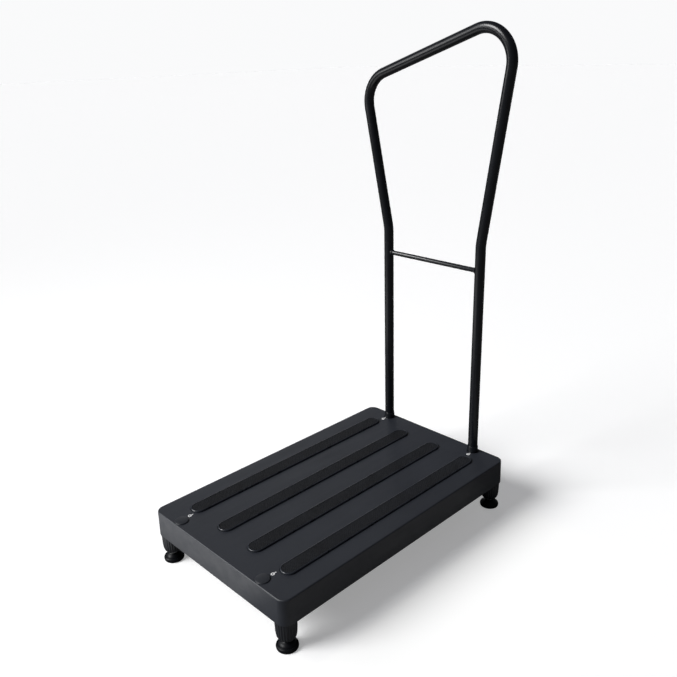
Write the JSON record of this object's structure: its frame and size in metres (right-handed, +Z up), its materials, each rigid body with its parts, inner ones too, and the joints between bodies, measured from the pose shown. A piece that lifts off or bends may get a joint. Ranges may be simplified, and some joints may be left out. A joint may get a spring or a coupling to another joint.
{
  "type": "platform step stool with handrail",
  "caption": "Low single platform step with ribbed grip strips, screw-adjustable rubber feet and a lift-out bent-tube handrail with a crossbar.",
  "frame": {"origin": "centre of the bounding box at floor level, under the middle of the deck", "axes": "+Z up, X across the width, Y along the length with the handrail at +Y"},
  "size_m": [0.356, 0.5714, 0.8988],
  "materials": {
    "moulded_deck": "fine-grained matte charcoal moulding",
    "leg_plastic": "matte charcoal moulding with vertical ribs",
    "grip_rubber": "black rubber with a fine raised anti-slip pattern",
    "foot_rubber": "smooth black rubber with a slight sheen",
    "gloss_black_steel": "gloss black powder coat",
    "cap_plastic": "satin black moulding",
    "zinc_steel": "bright zinc plate",
    "white_print": "printed white symbol"
  },
  "bodies": {
    "deck": {"deck_shell": "moulded_deck", "grip_strip_1": "grip_rubber", "grip_strip_2": "grip_rubber", "grip_strip_3": "grip_rubber", "grip_strip_4": "grip_rubber", "socket_front_left": "cap_plastic", "socket_front_right": "cap_plastic", "socket_rear_left": "cap_plastic", "socket_rear_right": "cap_plastic", "socket_screw_front_left": "zinc_steel", "socket_screw_front_right": "zinc_steel", "socket_screw_rear_left": "zinc_steel", "socket_screw_rear_right": "zinc_steel", "socket_mark_front_left": "white_print", "socket_mark_front_right": "white_print", "socket_mark_rear_left": "white_print", "socket_mark_rear_right": "white_print", "leg_sleeve_front_left": "leg_plastic", "leg_sleeve_front_right": "leg_plastic", "leg_sleeve_rear_left": "leg_plastic", "leg_sleeve_rear_right": "leg_plastic", "leg_nut_front_left": "zinc_steel", "leg_nut_front_right": "zinc_steel", "leg_nut_rear_left": "zinc_steel", "leg_nut_rear_right": "zinc_steel", "leg_screw_front_left": "zinc_steel", "leg_screw_front_right": "zinc_steel", "leg_screw_rear_left": "zinc_steel", "leg_screw_rear_right": "zinc_steel"},
    "handrail": {"handrail_tube": "gloss_black_steel", "handrail_crossbar": "gloss_black_steel", "handrail_end_cap_left": "cap_plastic", "handrail_end_cap_right": "cap_plastic", "handrail_collar_left": "cap_plastic", "handrail_collar_right": "cap_plastic"},
    "plug_left": {"socket_plug_front_left": "cap_plastic"},
    "plug_right": {"socket_plug_front_right": "cap_plastic"},
    "foot_front_left": {"foot_pad_front_left": "foot_rubber"},
    "foot_screw_front_left": {"foot_screw_front_left": "zinc_steel"},
    "foot_front_right": {"foot_pad_front_right": "foot_rubber"},
    "foot_screw_front_right": {"foot_screw_front_right": "zinc_steel"},
    "foot_rear_left": {"foot_pad_rear_left": "foot_rubber"},
    "foot_screw_rear_left": {"foot_screw_rear_left": "zinc_steel"},
    "foot_rear_right": {"foot_pad_rear_right": "foot_rubber"},
    "foot_screw_rear_right": {"foot_screw_rear_right": "zinc_steel"},
    "clamp_pad_left": {"clamp_pad_left": "zinc_steel"},
    "clamp_knob_left": {"clamp_knob_left": "cap_plastic"},
    "clamp_pad_right": {"clamp_pad_right": "zinc_steel"},
    "clamp_knob_right": {"clamp_knob_right": "cap_plastic"}
  },
  "joints": [
    {"name": "handrail_lift", "type": "slide", "parent": "deck", "child": "handrail", "axis": [0, 0, 1], "range_m": [0, 0.06]},
    {"name": "plug_lift_left", "type": "slide", "parent": "deck", "child": "plug_left", "axis": [0, 0, 1], "range_m": [0, 0.02]},
    {"name": "plug_lift_right", "type": "slide", "parent": "deck", "child": "plug_right", "axis": [0, 0, 1], "range_m": [0, 0.02]},
    {"name": "foot_lift_front_left", "type": "slide", "parent": "deck", "child": "foot_front_left", "axis": [0, 0, -1], "range_m": [0, 0.018]},
    {"name": "foot_turn_front_left", "type": "hinge", "parent": "foot_front_left", "child": "foot_screw_front_left", "pos_m": [-0.1586, -0.2672, 0.015], "axis": [0, 0, -1], "range_deg": [0, 2160]},
    {"name": "foot_lift_front_right", "type": "slide", "parent": "deck", "child": "foot_front_right", "axis": [0, 0, -1], "range_m": [0, 0.018]},
    {"name": "foot_turn_front_right", "type": "hinge", "parent": "foot_front_right", "child": "foot_screw_front_right", "pos_m": [0.1586, -0.2672, 0.015], "axis": [0, 0, -1], "range_deg": [0, 2160]},
    {"name": "foot_lift_rear_left", "type": "slide", "parent": "deck", "child": "foot_rear_left", "axis": [0, 0, -1], "range_m": [0, 0.018]},
    {"name": "foot_turn_rear_left", "type": "hinge", "parent": "foot_rear_left", "child": "foot_screw_rear_left", "pos_m": [-0.1586, 0.2672, 0.015], "axis": [0, 0, -1], "range_deg": [0, 2160]},
    {"name": "foot_lift_rear_right", "type": "slide", "parent": "deck", "child": "foot_rear_right", "axis": [0, 0, -1], "range_m": [0, 0.018]},
    {"name": "foot_turn_rear_right", "type": "hinge", "parent": "foot_rear_right", "child": "foot_screw_rear_right", "pos_m": [0.1586, 0.2672, 0.015], "axis": [0, 0, -1], "range_deg": [0, 2160]},
    {"name": "clamp_slide_left", "type": "slide", "parent": "deck", "child": "clamp_pad_left", "axis": [0, -1, 0], "range_m": [0, 0.003]},
    {"name": "clamp_turn_left", "type": "hinge", "parent": "clamp_pad_left", "child": "clamp_knob_left", "pos_m": [-0.1115, 0.27, 0.08], "axis": [0, -1, 0], "range_deg": [0, 720]},
    {"name": "clamp_slide_right", "type": "slide", "parent": "deck", "child": "clamp_pad_right", "axis": [0, -1, 0], "range_m": [0, 0.003]},
    {"name": "clamp_turn_right", "type": "hinge", "parent": "clamp_pad_right", "child": "clamp_knob_right", "pos_m": [0.1115, 0.27, 0.08], "axis": [0, -1, 0], "range_deg": [0, 720]}
  ],
  "couplings": [
    {"joint": "foot_turn_front_left", "follows": "foot_lift_front_left", "rad_per_m": 2094.4},
    {"joint": "foot_turn_front_right", "follows": "foot_lift_front_right", "rad_per_m": 2094.4},
    {"joint": "foot_turn_rear_left", "follows": "foot_lift_rear_left", "rad_per_m": 2094.4},
    {"joint": "foot_turn_rear_right", "follows": "foot_lift_rear_right", "rad_per_m": 2094.4},
    {"joint": "clamp_turn_left", "follows": "clamp_slide_left", "rad_per_m": 4188.8},
    {"joint": "clamp_turn_right", "follows": "clamp_slide_right", "rad_per_m": 4188.8}
  ]
}
